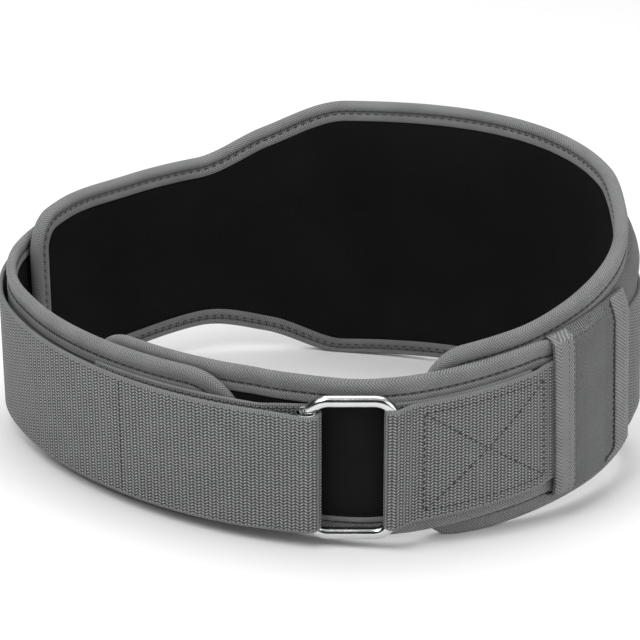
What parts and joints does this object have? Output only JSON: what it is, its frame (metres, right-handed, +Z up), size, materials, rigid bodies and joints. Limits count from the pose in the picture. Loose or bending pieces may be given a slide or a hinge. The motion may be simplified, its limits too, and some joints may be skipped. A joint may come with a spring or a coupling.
{
  "type": "weightlifting belt",
  "caption": "Padded contoured waist belt for lifting, taller at the back, closed in front by a webbing strap folded round a chromed roller ring.",
  "frame": {"origin": "on the floor under the middle of the belt's box, as the belt rests by itself on its lower edge", "axes": "+Z up from the floor, +X to the wearer's left as seen from the front, -Y towards the ring at the front"},
  "size_m": [0.3264, 0.2748, 0.1535],
  "materials": {
    "cover_cloth": "matt grey woven nylon over foam",
    "lining_cloth": "near-black brushed knit",
    "binding_tape": "grey herringbone tape, stitched",
    "webbing": "ribbed grey polyester webbing",
    "sleeve_cloth": "fine grey diagonal twill",
    "fastener": "black hook and loop pile",
    "metal": "polished chrome plate on steel wire"
  },
  "bodies": {
    "root": {"back_cover": "cover_cloth", "back_lining": "lining_cloth", "back_binding": "binding_tape", "wing_cover": "cover_cloth", "wing_lining": "lining_cloth", "wing_binding": "binding_tape", "tab_cover": "lining_cloth", "tab_lining": "lining_cloth", "tab_binding": "binding_tape", "strap": "webbing", "fastener_patch": "fastener", "ring": "metal", "roller": "metal", "right_sleeve": "sleeve_cloth", "right_sleeve_front_tape": "binding_tape", "right_sleeve_rear_tape": "binding_tape", "left_sleeve": "sleeve_cloth", "left_sleeve_front_tape": "binding_tape", "left_sleeve_rear_tape": "binding_tape"}
  },
  "joints": []
}
